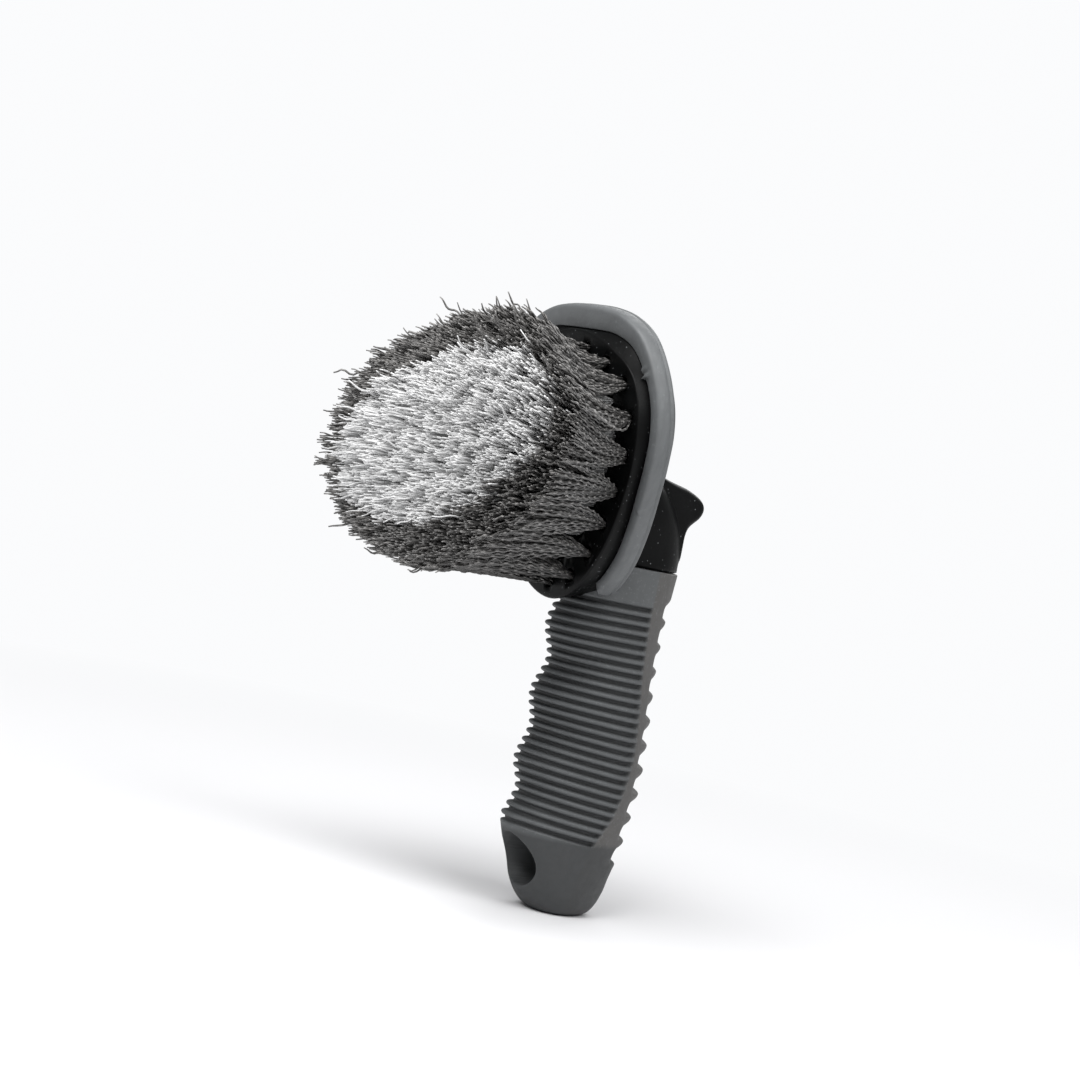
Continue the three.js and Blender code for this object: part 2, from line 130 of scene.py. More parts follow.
# places along a fibre, as shares of its length: how much starts inside the hole, where the crimp is full,
# where the curl starts and how long it is, where the fibre is no longer packed tight and where it thins
ALONG = {"buried": 0.03, "crimp_full": 0.12, "curl": (0.7, 0.3), "loose": 0.3, "thins": 0.94}
PACKED = 0.7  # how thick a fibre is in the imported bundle
THINNING = 0.4  # how much thinner it is at its tip
CRIMP = {"dark": 0.24, "light": 0.15}
# neighbouring fibres cling together in clumps: how far apart these are, how much they draw their tips
# together, between which shares that varies, and how much longer one clump is than another
CLUMP = {"apart": 3.4, "pull": 0.3, "varies": (0.2, 1.4), "uneven": 1.7}
# how far the fibres hang through on their way, at the bottom and at the top of the head
SAG = {"bottom": -2.5, "top": 4.5}
TUFT_ROOT_RADIUS = 2.2
TUFT_HOLE_DEPTH = 6.0
# [distance along the tuft from the face, radius] of the hole it stands in
TUFT_HOLE_PROFILE = ((-TUFT_HOLE_DEPTH, 2.4), (-0.6, 2.4), (0.0, 2.6), (0.8, 3.4))
CAD_END = 0.05  # points of a CAD tuft that are this near its lowest or highest y belong to its ends
# the oval that the fibre tips fill: half width, lowest and highest tip above HEAD_BASE_Z, how much taller it
# is on the +X side, where the trimmed tips lie in y, how unevenly they are spread and how ragged their edge is
TIPS = {
    "half_width": 69.5, "low": -7.5, "high": 83.0, "skew": 0.14, "y": -93.0, "jitter": 0.75, "ragged": 0.018,
}
# how much shorter the fibres are at the top, at both sides and near the +X side, and from where on the oval,
# with 0 in its middle and 1 at its edge
SHORTER = {"top": 9.0, "top_from": 0.35, "sides": 3.0, "sides_from": 0.5, "near": 6.0, "near_from": 0.72}
# the oval inside it that the light tips fill: half width, half height, height of its middle and its slope
LIGHT_TIPS = {"half_width": 59.5, "half_height": 30.5, "middle": 37.0, "slope": 0.13, "ragged": 0.035}
# how tips find their tuft: distances across count for less than distances up, and are blurred a little
OWNER = {"stretch": (0.62, 1.0), "blur": 0.55}
DARK_ROWS = (1,)

# angles in degrees, lengths in metres, the lens in millimetres
CAMERA = {
    "azimuth": 54.0, "elevation": -1.74, "roll": 12.33, "distance": 0.9, "lens": 81.9,
    "aim": (-0.03096, -0.01532, 0.12932),
}
SEEDS = {"bumper": 11, "tips": 7, "first_tuft": 100}


# ---- Curves and meshes ----

def curve_through(stations):
    """A smooth curve through [t, value, value, ...], read at any t."""
    table = np.array(stations, float)
    t = table[:, 0]
    before = np.maximum(np.arange(len(t)) - 1, 0)
    after = np.minimum(np.arange(len(t)) + 1, len(t) - 1)

    def read(at, column=1):
        at = np.asarray(at, float)
        v = table[:, column]
        slope = (v[after] - v[before]) / (t[after] - t[before])
        i = np.clip(np.searchsorted(t, at, side="right") - 1, 0, len(t) - 2)
        span = t[i + 1] - t[i]
        u = np.clip((at - t[i]) / span, 0, 1)
        rise = 3 * u**2 - 2 * u**3
        bulge = (1 - u) * slope[i] - u * slope[i + 1]
        return (1 - rise) * v[i] + rise * v[i + 1] + span * u * (1 - u) * bulge

    return read


def smoothstep(x, low, high):
    u = np.clip((np.asarray(x, float) - low) / (high - low), 0, 1)
    return u * u * (3 - 2 * u)


def mesh_object(name, points, faces):
    """A smooth-shaded object from points in millimetres."""
    mesh = bpy.data.meshes.new(name)
    mesh.from_pydata((np.asarray(points) * MM).tolist(), [], faces)
    mesh.update()
    mesh.polygons.foreach_set("use_smooth", [True] * len(mesh.polygons))
    obj = bpy.data.objects.new(name, mesh)
    bpy.context.scene.collection.objects.link(obj)
    return obj


def loft(name, rings):
    """A closed body through rings of points, all with the same number of points."""
    rings = np.asarray(rings)
    count, size = rings.shape[:2]
    i = np.arange(count - 1)[:, None] * size
    j = np.arange(size)[None, :]
    k = (j + 1) % size
    quads = np.stack([i + j, i + k, i + size + k, i + size + j], axis=-1).reshape(-1, 4).tolist()
    quads.append(list(range(size))[::-1])
    quads.append([(count - 1) * size + n for n in range(size)])
    obj = mesh_object(name, rings.reshape(-1, 3), quads)
    recalculate_normals(obj)
    return obj


def add_float(obj, name, values):
    layer = obj.data.attributes.new(name, "FLOAT", "POINT")
    layer.data.foreach_set("value", np.asarray(values, np.float32))


def recalculate_normals(obj):
    bm = bmesh.new()
    bm.from_mesh(obj.data)
    bmesh.ops.recalc_face_normals(bm, faces=bm.faces)
    bm.to_mesh(obj.data)
    bm.free()


def apply_modifiers(obj):
    """Bakes the object's modifiers into its mesh."""
    evaluated = obj.evaluated_get(bpy.context.evaluated_depsgraph_get())
    mesh = bpy.data.meshes.new_from_object(evaluated)
    obj.modifiers.clear()
    obj.data = mesh
    mesh.polygons.foreach_set("use_smooth", [True] * len(mesh.polygons))


def cut(obj, cutter, operation="DIFFERENCE"):
    """Takes the cutter out of the object, or joins it to it, and removes the cutter."""
    boolean = obj.modifiers.new("cut", "BOOLEAN")
    boolean.operation = operation
    boolean.solver = "MANIFOLD"
    boolean.object = cutter
    bpy.context.view_layer.update()
    apply_modifiers(obj)
    bpy.data.objects.remove(cutter)


def join(name, parts):
    """One object with the parts' meshes side by side."""
    points = []
    faces = []
    for part in parts:
        start = len(points)
        points.extend([v.co / MM for v in part.data.vertices])
        faces.extend([[start + v for v in face.vertices] for face in part.data.polygons])
        bpy.data.objects.remove(part)
    return mesh_object(name, np.array([list(p) for p in points]), faces)


def fuse(obj, voxel, rounds):
    """Melts overlapping bodies into one skin with soft inside corners."""
    remesh = obj.modifiers.new("fuse", "REMESH")
    remesh.mode = "VOXEL"
    remesh.voxel_size = voxel * MM
    smooth = obj.modifiers.new("soften", "SMOOTH")
    smooth.factor = 0.5
    smooth.iterations = rounds
    apply_modifiers(obj)


# ---- Materials ----

class Nodes:
    """Short ways to make and link the nodes of one material."""

    def __init__(self, name):
        self.material = bpy.data.materials.new(name)
        self.material.use_nodes = True
        self.tree = self.material.node_tree
        self.shader = self.tree.nodes["Principled BSDF"]
        self.place = self.tree.nodes.new("ShaderNodeTexCoord").outputs["Object"]

    def link(self, output, target):
        self.tree.links.new(output, target)

    def noise(self, size, detail=2.0, rough=0.5, stretch=(1, 1, 1)):
        """Noise whose features are about size millimetres."""
        place = self.place
        if stretch != (1, 1, 1):
            mapping = self.tree.nodes.new("ShaderNodeMapping")
            mapping.inputs["Scale"].default_value = stretch
            self.link(self.place, mapping.inputs["Vector"])
            place = mapping.outputs["Vector"]
        node = self.tree.nodes.new("ShaderNodeTexNoise")
        node.inputs["Scale"].default_value = 1 / (size * MM)
        node.inputs["Detail"].default_value = detail
        node.inputs["Roughness"].default_value = rough
        self.link(place, node.inputs["Vector"])
        return node.outputs["Fac"]

    def specks(self, size, share):
        """1 in small round dots, size millimetres apart, and 0 between them."""
        node = self.tree.nodes.new("ShaderNodeTexVoronoi")
        node.inputs["Scale"].default_value = 1 / (size * MM)
        self.link(self.place, node.inputs["Vector"])
        return self.remap(node.outputs["Distance"], share, share * 0.5, 0, 1)

    def remap(self, value, low, high, to_low, to_high):
        node = self.tree.nodes.new("ShaderNodeMapRange")
        self.link(value, node.inputs["Value"])
        for name, number in zip(("From Min", "From Max", "To Min", "To Max"), (low, high, to_low, to_high)):
            node.inputs[name].default_value = number
        return node.outputs["Result"]

    def math(self, operation, first, second):
        node = self.tree.nodes.new("ShaderNodeMath")
        node.operation = operation
        for socket, value in zip(node.inputs, (first, second)):
            if isinstance(value, (int, float)):
                socket.default_value = value
            else:
                self.link(value, socket)
        return node.outputs[0]

    def height(self):
        """The height of a point above the brush's lowest end, in metres."""
        node = self.tree.nodes.new("ShaderNodeSeparateXYZ")
        self.link(self.place, node.inputs[0])
        return node.outputs["Z"]

    def attribute(self, name):
        node = self.tree.nodes.new("ShaderNodeAttribute")
        node.attribute_name = name
        return node.outputs["Fac"]

    def mix(self, amount, first, second):
        """A colour between two; each is a colour or another node's output."""
        node = self.tree.nodes.new("ShaderNodeMix")
        node.data_type = "RGBA"
        self.link(amount, node.inputs["Factor"])
        for socket, value in ((node.inputs[6], first), (node.inputs[7], second)):
            if isinstance(value, tuple):
                socket.default_value = (*value, 1)
            else:
                self.link(value, socket)
        return node.outputs[2]

    def bump(self, height, depth, strength=1.0, below=None):
        """Bump from a height of 0 to 1 that stands for depth millimetres."""
        node = self.tree.nodes.new("ShaderNodeBump")
        node.inputs["Distance"].default_value = depth * MM
        node.inputs["Strength"].default_value = strength
        self.link(height, node.inputs["Height"])
        if below is not None:
            self.link(below, node.inputs["Normal"])
        return node.outputs["Normal"]


def grey(level, tint=(1.0, 1.0, 1.0)):
    """A colour from a display level of 0 to 255, tinted."""
    value = level / 255
    linear = ((value + 0.055) / 1.055) ** 2.4 if value > 0.04 else value / 12.92
    return tuple(linear * t for t in tint)


COOL = (0.95, 1.0, 1.03)
WARM = (1.03, 1.0, 0.97)


def grip_rubber():
    """Dark grey rubber: matt, finely grained, dusty on the ribs, with painted shade in the grooves and on the
    pommel.
    """
    n = Nodes("grip_rubber")
    patches = n.remap(n.noise(14, 3), 0.35, 0.65, 0, 1)
    colour = n.mix(patches, grey(80, COOL), grey(87, COOL))
    colour = n.mix(n.attribute("band"), colour, grey(78, WARM))
    groove = n.attribute("groove")
    # painted shade: the grooves are painted darker, as shade falls down in them
    colour = n.mix(groove, colour, grey(50, COOL))
    dusty = n.remap(n.noise(1.1, 4, 0.7), 0.56, 0.72, 0, 0.35)
    dust = n.math("MULTIPLY", dusty, n.math("SUBTRACT", 1.0, groove))
    colour = n.mix(dust, colour, grey(128, COOL))
    # painted shade: the pommel is painted darker, as less light reaches it low down; this hides most dust
    # there
    pommel = n.remap(n.height(), POMMEL_SHOULDER_Z * MM, (POMMEL_SHOULDER_Z - 2) * MM, 0, 0.9)
    colour = n.mix(pommel, colour, grey(56, COOL))
    n.link(colour, n.shader.inputs["Base Color"])
    n.link(n.remap(n.noise(3.0, 4), 0.3, 0.7, 0.52, 0.68), n.shader.inputs["Roughness"])
    grain = n.bump(n.noise(0.28, 3, 0.6), 0.05, 0.55)
    n.link(n.bump(n.noise(4.5, 2), 0.12, 0.5, grain), n.shader.inputs["Normal"])
    n.shader.inputs["Specular IOR Level"].default_value = 0.42
    return n.material


def bumper_rubber():
    """Softer, lighter grey rubber with faint mould streaks and scuffed patches."""
    n = Nodes("bumper_rubber")
    streaks = n.noise(9, 4, 0.6, stretch=(1, 3.5, 1))
    colour = n.mix(n.remap(streaks, 0.35, 0.68, 0, 1), grey(89, COOL), grey(97, COOL))
    scuff = n.remap(n.noise(2.2, 5, 0.75), 0.6, 0.74, 0, 0.4)
    colour = n.mix(scuff, colour, grey(146, COOL))
    n.link(colour, n.shader.inputs["Base Color"])
    n.link(n.remap(n.noise(2.6, 4), 0.3, 0.7, 0.46, 0.62), n.shader.inputs["Roughness"])
    grain = n.bump(n.noise(0.35, 3, 0.6), 0.05, 0.5)
    n.link(n.bump(n.noise(3.2, 3), 0.22, 0.6, grain), n.shader.inputs["Normal"])
    return n.material


def core_plastic():
    """Black moulded plastic: a satin shine, fine dust and hairline scratches."""
    n = Nodes("core_plastic")
    colour = n.mix(n.remap(n.noise(11, 3), 0.4, 0.7, 0, 1), grey(9, COOL), grey(14, COOL))
    dust = n.math("MULTIPLY", n.specks(1.9, 0.15), n.remap(n.noise(9, 3), 0.42, 0.58, 0, 0.85))
    colour = n.mix(dust, colour, grey(120, COOL))
    n.link(colour, n.shader.inputs["Base Color"])
    n.link(n.remap(n.noise(1.6, 5, 0.7), 0.3, 0.7, 0.3, 0.46), n.shader.inputs["Roughness"])
    scratches = n.noise(0.9, 5, 0.8, stretch=(0.35, 1, 2.2))
    n.link(n.bump(scratches, 0.06, 0.35), n.shader.inputs["Normal"])
    n.shader.inputs["Specular IOR Level"].default_value = 0.1
    return n.material


def fibre_plastic(name, root, body, crest_glint, tip, rough):
    """Crimped fibres: each strand has its own shade, painted shade at the root, wear and a painted highlight
    at the tip.
    """
    n = Nodes(name)
    shade = n.attribute("strand")
    along = n.attribute("along")
    colour = n.mix(shade, body[0], body[1])
    # painted shade: the fibres are painted darker towards the root, where the packed bundle is in shade
    colour = n.mix(n.remap(along, 0.45, 0.0, 0, 0.8), colour, root)
    # the tips are painted lighter in patches: partly wear of the cut ends, partly a painted highlight
    tip_wear_and_highlight = n.math("MULTIPLY", n.remap(along, 0.86, 1.0, 0, 0.75), n.remap(n.noise(1.4, 3), 0.4, 0.6, 0, 1))
    colour = n.mix(tip_wear_and_highlight, colour, tip)
    # painted highlight: the crimp's crests are painted lighter as glints of light
    colour = n.mix(n.remap(n.attribute("crest_glint"), 0.45, 0.95, 0, 0.7), colour, crest_glint)
    n.link(colour, n.shader.inputs["Base Color"])
    n.link(n.remap(n.noise(0.8, 3), 0.3, 0.7, rough - 0.08, rough + 0.1), n.shader.inputs["Roughness"])
    n.link(n.bump(n.noise(0.3, 3), 0.03, 0.5), n.shader.inputs["Normal"])
    return n.material


def dark_fibre():
    return fibre_plastic("bristle_dark", grey(30, WARM), (grey(64, WARM), grey(96, WARM)), grey(154, WARM),
                         grey(108, WARM), 0.34)


def light_fibre():
    return fibre_plastic("bristle_light", grey(120), (grey(203), grey(221)), grey(226), grey(230), 0.56)


# ---- Grip ----

grip_section = curve_through(GRIP_STATIONS)
crease_y = curve_through(CREASE_STATIONS)


def crease_angle(z):
    return 90 + math.degrees(math.asin(float(crease_y(z)) / float(grip_section(z, 2))))


def scallop_depth(z, angle):
    """Notches across the spine: above each one the back rises slowly to a bump, then drops into the next."""
    rise = SCALLOP["rise"]
    along = (z - SCALLOP["lowest"]) / SCALLOP["pitch"]
    if along < rise - 1 or along > SCALLOP["count"] - 1 + rise:
        return np.zeros_like(angle)
    phase = along - math.floor(along)
    low = 1 - phase / rise if phase < rise else (phase - rise) / (1 - rise)
    across = smoothstep(SCALLOP["half_angle"] - np.abs(180 - angle), 0, SCALLOP["fade"])
    depth = SCALLOP["depth"] + SCALLOP["deeper_low"] * (1 - smoothstep(z, *SCALLOP["deeper_ends"]))
    return depth * (0.5 - 0.5 * math.cos(math.pi * low)) * across


def groove_share(z):
    """0 on a rib's crown, 1 at the bottom of a groove."""
    place = (z - LOWEST_RIB_Z) / RIB_PITCH
    if place < -1 or place > RIB_COUNT:
        return 0.0
    off = abs(place - round(place)) * 2 / RIB_SHARE
    crown = (1 - min(off, 1.0) ** RIB_CROWN["steep"]) ** RIB_CROWN["round"]
    return 1 - crown


FRONT_STEPS = 40
WALL_STEPS = 4
BAND_STEPS = 30
WALL_ANGLE = 2.6
POMMEL_STEP = 0.5
RINGS_PER_RIB = 14
COLLAR_RINGS = 12


def grip_levels():
    """Heights of the grip's rings: fine through the pommel and the ribs."""
    foot = LOWEST_RIB_Z - RIB_PITCH
    ribs_top = LOWEST_RIB_Z + RIB_COUNT * RIB_PITCH
    edge = [0, 0.15, 0.45, 0.9, 1.5]
    pommel = np.arange(2.0, foot, POMMEL_STEP)
    ribs = np.arange(foot, ribs_top, RIB_PITCH / RINGS_PER_RIB)
    collar = np.linspace(ribs_top, GRIP_TOP_Z - GRIP_EDGE, COLLAR_RINGS)
    return np.concatenate([edge, pommel, ribs, collar, [GRIP_TOP_Z - edge[1], GRIP_TOP_Z]])


def grip_side_angles(z):
    """Angles round one side of the grip, from the front to the back, and the angle of the crease."""
    crease = crease_angle(z)
    front = np.linspace(0, crease - WALL_ANGLE / 2, FRONT_STEPS, endpoint=False)
    wall = np.linspace(crease - WALL_ANGLE / 2, crease + WALL_ANGLE / 2, WALL_STEPS, endpoint=False)
    band = np.linspace(crease + WALL_ANGLE / 2, 180, BAND_STEPS)
    return np.concatenate([front, wall, band]), crease


def grip_ring(z):
    """One ring of the grip, how deep in a groove each point lies, and whether it is on the back band."""
    angles, crease = grip_side_angles(z)
    in_ribs = 1 - smoothstep(angles, crease - WALL_ANGLE / 2, crease + WALL_ANGLE / 2)
    groove = groove_share(z) * in_ribs
    sunk = RIB_DEPTH * groove + scallop_depth(z, angles)
    edge = min(z, GRIP_TOP_Z - z)
    if edge < GRIP_EDGE:
        sunk = sunk + GRIP_EDGE - math.sqrt(max(GRIP_EDGE**2 - (GRIP_EDGE - edge) ** 2, 0))
    a = np.radians(angles)
    depth = np.where(np.cos(a) > 0, float(grip_section(z, 1)), float(grip_section(z, 2)))
    width = float(grip_section(z, 3))
    x = width * np.sin(a)
    y = -(depth - sunk) * np.cos(a)
    towards_front = np.clip(-y / RIB_LIFT["full_y"], RIB_LIFT["least"], 1)
    most = RIB_LIFT["most"] * smoothstep(z, *RIB_LIFT["starts"]) * (1 - smoothstep(z, *RIB_LIFT["fades"]))
    lift = most * towards_front
    # the rim of the hang hole rolls inwards
    away = np.hypot(x, z + lift - HANG_HOLE["z"]) - HANG_HOLE["radius"]
    rim = HANG_HOLE["rim"]
    roll = np.clip(rim - away, 0, rim)
    sunk = sunk + rim - np.sqrt(rim**2 - roll**2)
    x = (width - sunk) * np.sin(a)
    y = -(depth - sunk) * np.cos(a)
    side = np.stack([x, y, z + lift], axis=-1)
    ring = np.concatenate([side, back_again(side) * (-1, 1, 1)])
    band = 1 - in_ribs
    return ring, np.concatenate([groove, back_again(groove)]), np.concatenate([band, back_again(band)])


def back_again(values):
    """The values of one side in reverse, for the other side, without the two shared ends."""
    return values[1:-1][::-1]


def make_grip():
    rings = [grip_ring(float(z)) for z in grip_levels()]
    grip = loft("grip_rubber_sleeve", [ring for ring, _, _ in rings])
    add_float(grip, "groove", np.concatenate([groove for _, groove, _ in rings]))
    add_float(grip, "band", np.concatenate([band for _, _, band in rings]))
    cut(grip, hole_cutter())
    return grip


def hole_cutter():
    """A cylinder along Y through the pommel."""
    sides, radius = HANG_HOLE["sides"], HANG_HOLE["radius"]
    turn = np.arange(sides) * 2 * np.pi / sides
    x, z = radius * np.cos(turn), HANG_HOLE["z"] + radius * np.sin(turn)
    reach = HANG_HOLE["reach"]
    return loft("hole_cutter", [np.stack([x, np.full(sides, y), z], -1) for y in (-reach, reach)])


# ---- Head ----

HEAD_SIDES = 180
FACE_SAMPLES = 2400
DOME_RINGS = 13
NECK_SIDES = 96
NECK_RINGS = 24
THUMB_RINGS = 17
HOLE_SIDES = 20
BUMPER_STEPS = 420
END_ROUGHNESS = 0.25
ROOM = 99.0  # half the width of a box larger than the head


def bumper_radius(angle):
    step = 180 / (len(BUMPER_RADII) - 1)
    radii = [BUMPER_RADII[1], *BUMPER_RADII, BUMPER_RADII[-2]]
    stations = [[(i - 1) * step, r] for i, r in enumerate(radii)]
    folded = np.abs((np.asarray(angle, float) + 180) % 360 - 180)
    return curve_through(stations)(folded)


def bumper_width(angle):
    folded = np.minimum(angle, 360 - np.asarray(angle, float))
    side, top = BUMPER_WIDTH["side"], BUMPER_WIDTH["top"]
    return side + (top - side) * smoothstep(folded, *BUMPER_WIDTH["widens"])


def on_bumper_plane(x, h, back):
    t = math.radians(BUMPER["tilt"])
    y = BUMPER["y"] - h * math.sin(t) + back * math.cos(t)
    z = BUMPER["z"] + h * math.cos(t) + back * math.sin(t)
    return np.stack(np.broadcast_arrays(x, y, z), axis=-1)


def bumper_point(angle, inward, back):
    radius = bumper_radius(angle) - inward
    a = np.radians(angle)
    return on_bumper_plane(radius * np.sin(a), BUMPER_CENTRE_H - radius * np.cos(a), back)


def head_angles():
    return np.arange(HEAD_SIDES) * 360 / HEAD_SIDES


def rim_ring(inward, back):
    """A ring measured inwards from the bumper's inner edge."""
    angles = head_angles()
    return bumper_point(angles, bumper_width(angles) + inward, back)


def face_ring(inset, back):
    """A ring on the block's front face at the same angles as the rim rings."""
    right = []
    for x, h in FACE_OUTLINE:
        rise = h - FACE["centre_h"]
        reach = math.hypot(x, rise)
        scale = (reach - inset) / reach
        right.append((x * scale, FACE["centre_h"] + rise * scale))
    loop = np.array(right + [(-x, h) for x, h in right[-2:0:-1]])
    dense = closed_curve(loop, FACE_SAMPLES)
    found = np.degrees(np.arctan2(dense[:, 0], BUMPER_CENTRE_H - dense[:, 1])) % 360
    order = np.argsort(found)
    wrapped = np.concatenate([found[order] - 360, found[order], found[order] + 360])
    angles = head_angles()
    x = np.interp(angles, wrapped, np.tile(dense[order, 0], 3))
    h = np.interp(angles, wrapped, np.tile(dense[order, 1], 3))
    y = FACE["y"] - h * math.tan(math.radians(FACE["tilt"])) + back
    return np.stack([x, y, HEAD_BASE_Z + h], axis=-1)


def closed_curve(loop, count):
    """A smooth closed curve through the points of a loop."""
    reach = np.linalg.norm(np.roll(loop, -1, axis=0) - loop, axis=1)
    t = np.concatenate([[0], np.cumsum(reach)])
    total = t[-1]
    wrap = 3
    times = np.concatenate([t[-1 - wrap:-1] - total, t, t[1:wrap + 1] + total])
    points = np.concatenate([loop[-wrap:], loop, loop[:1], loop[1:wrap + 1]])
    at = np.linspace(0, total, count, endpoint=False)
    table = np.column_stack([times, points])
    read = curve_through(table)
    return np.stack([read(at, 1), read(at, 2)], axis=-1)


def block_front():
    rounding = FACE["round"]
    rings = [face_ring(inset, 0) for inset in (*FACE["insets"], rounding)]
    for turn in np.radians([22.5, 45, 67.5]):
        rings.append(face_ring(rounding * (1 - math.sin(turn)), rounding * (1 - math.cos(turn))))
    rings += [face_ring(0, rounding), rim_ring(GAP, 0), rim_ring(GAP, BUMPER["depth"])]
    return loft("block_front", rings)


def block_back():
    """The rounded back of the head; it stops where the grip starts."""
    back = BUMPER["depth"] + GAP
    flange, edge = DOME["flange"], DOME["edge"]
    foot = GAP + DOME["foot_inset"]
    low = BUMPER["depth"] - DOME["foot_depth"]
    rings = [rim_ring(foot, low), rim_ring(foot, back), rim_ring(edge - flange, back)]
    for turn in np.linspace(0, math.pi / 2, DOME_RINGS):
        inward = (flange + DOME["flat_inset"]) * (1 - math.cos(turn)) - flange
        rise = (DOME["rise"] - edge) * math.sin(turn) ** DOME["roundness"]
        rings.append(rim_ring(inward, back + edge + rise))
    dome = loft("block_back", rings)
    below = np.array([[-ROOM, -ROOM], [ROOM, -ROOM], [ROOM, ROOM], [-ROOM, ROOM]])
    rings = [np.column_stack([below, np.full(4, z)]) for z in (0.0, GRIP_TOP_Z + GAP)]
    cut(dome, loft("below_cutter", rings))
    return dome


def neck():
    section = curve_through(NECK_STATIONS)
    turn = np.arange(NECK_SIDES) * 2 * np.pi / NECK_SIDES
    rings = []
    for z in np.linspace(NECK_STATIONS[0][0], NECK_STATIONS[-1][0], NECK_RINGS):
        front, back, width = (float(section(z, column)) for column in (1, 2, 3))
        y = (front + back) / 2 - (back - front) / 2 * np.cos(turn)
        rings.append(np.stack([width * np.sin(turn), y, np.full(NECK_SIDES, z)], axis=-1))
    return loft("neck", rings)


def bezier(p0, p1, p2, p3, count=14):
    u = np.linspace(0, 1, count, endpoint=False)[:, None]
    p0, p1, p2, p3 = (np.array(p, float) for p in (p0, p1, p2, p3))
    return (1 - u) ** 3 * p0 + 3 * u * (1 - u) ** 2 * p1 + 3 * u**2 * (1 - u) * p2 + u**3 * p3


def thumb_rest():
    """The thumb's tongue behind the head: a side outline in y and z, widened and rounded at its edges."""
    tip = np.array(THUMB_REST["tip"])
    start = np.array([THUMB_REST["front"], THUMB_REST["top"]])
    stretches = []
    for curve in THUMB_CURVES:
        first, second, end = (tip + offset for offset in curve)
        stretches.append(bezier(start, first, second, end))
        start = end
    outline = np.concatenate([*stretches, [(THUMB_REST["front"], THUMB_REST["bottom"])]])
    middle = outline.mean(axis=0)
    rings = []
    edge = THUMB_REST["edge"]
    half = THUMB_REST["width"] / 2
    for turn in np.linspace(-math.pi / 2, math.pi / 2, THUMB_RINGS):
        x = math.copysign(half - edge, turn) + edge * math.sin(turn)
        inset = edge * (1 - math.cos(turn))
        toward = middle - outline
        reach = np.linalg.norm(toward, axis=1, keepdims=True)
        moved = outline + toward / reach * inset
        rings.append(np.column_stack([np.full(len(moved), x), moved]))
    return loft("thumb_rest", rings)


def make_core(tufts):
    body = join("core_body", [block_back(), neck(), thumb_rest()])
    fuse(body, CORE_SKIN["voxel"], CORE_SKIN["rounds"])
    cut(body, block_front(), "UNION")
    cutters = [tuft_hole(tuft) for tuft in tufts.values()]
    cut(body, join("hole_cutters", cutters))
    return body


def tuft_hole(tuft):
    root, tip = tuft
    axis = (tip - root) / abs(tip[1] - root[1])
    turn = np.arange(HOLE_SIDES) * 2 * np.pi / HOLE_SIDES
    rings = []
    for along, radius in TUFT_HOLE_PROFILE:
        centre = root + axis * along
        rings.append(centre + np.stack([radius * np.cos(turn), 0 * turn, radius * np.sin(turn)], axis=-1))
    return loft("tuft_hole", rings)


def bumper_section(width):
    """The bumper's section: inward from the outer edge, back from the front plane, with a lip at the back."""
    d = BUMPER["depth"]
    return np.array([
        [width, 0.35], [width - 0.12, 0.1], [width - 0.35, 0.0], [width * 0.5, -0.12], [2.0, 0.0],
        [1.35, 0.08], [0.8, 0.35], [0.4, 0.85], [0.15, 1.6], [0.0, 2.8], [0.0, 4.2], [0.12, 5.1],
        [0.34, 5.4], [0.3, 5.75], [0.05, 6.0], [0.05, 6.5], [0.3, 7.1], [0.9, d - 0.08], [1.6, d],
        [width - 0.3, d], [width, d - 0.3],
    ])


# moulding flaws: a tag of flash on the inner edge and a small burr on the outer one; each pushes some points
# of the section, in millimetres inward and back
BUMPER_FLAWS = (
    {"angle": 121.0, "spread": 1.1, "rows": slice(0, 3), "push": (3.0, -0.5)},
    {"angle": 117.5, "spread": 0.8, "rows": slice(0, 4), "push": (1.4, -1.2)},
    {"angle": 55.0, "spread": 0.7, "rows": slice(5, 8), "push": (-0.2, -0.9)},
)


def make_bumper():
    """A horseshoe of soft rubber round the head; its two ends at the bottom are cut a little unevenly."""
    rng = np.random.default_rng(SEEDS["bumper"])
    rings = []
    for angle in np.linspace(BUMPER["open"], 360 - BUMPER["open"], BUMPER_STEPS):
        section = bumper_section(float(bumper_width(angle)))
        for flaw in BUMPER_FLAWS:
            near = math.exp(-((angle - flaw["angle"]) / flaw["spread"]) ** 2)
            section[flaw["rows"]] += np.array(flaw["push"]) * near
        rings.append(bumper_point(angle, section[:, 0], section[:, 1]))
    rings = np.array(rings)
    for end, inner in ((0, 1), (-1, -2)):
        rings[end] += rng.normal(0, END_ROUGHNESS, rings[end].shape)
        rings[inner] += rng.normal(0, END_ROUGHNESS * 0.4, rings[inner].shape)
    return loft("bumper_horseshoe", rings)


# ---- Fibres ----

def read_tufts():
    """Where each CAD tuft leaves the face and where its tip is, in millimetres."""
    tufts = {}
    for name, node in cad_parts.items():
        if not name.startswith("tuft_"):
            continue
        points = np.array([list(v.co) for v in node.data.vertices]) / MM
        deep = points[points[:, 1] > points[:, 1].max() - CAD_END].mean(axis=0)
        tip = points[points[:, 1] < points[:, 1].min() + CAD_END].mean(axis=0)
        axis = (tip - deep) / abs(tip[1] - deep[1])
        tufts[name] = (deep + axis * (TUFT_HOLE_DEPTH - GAP), tip)
    return tufts


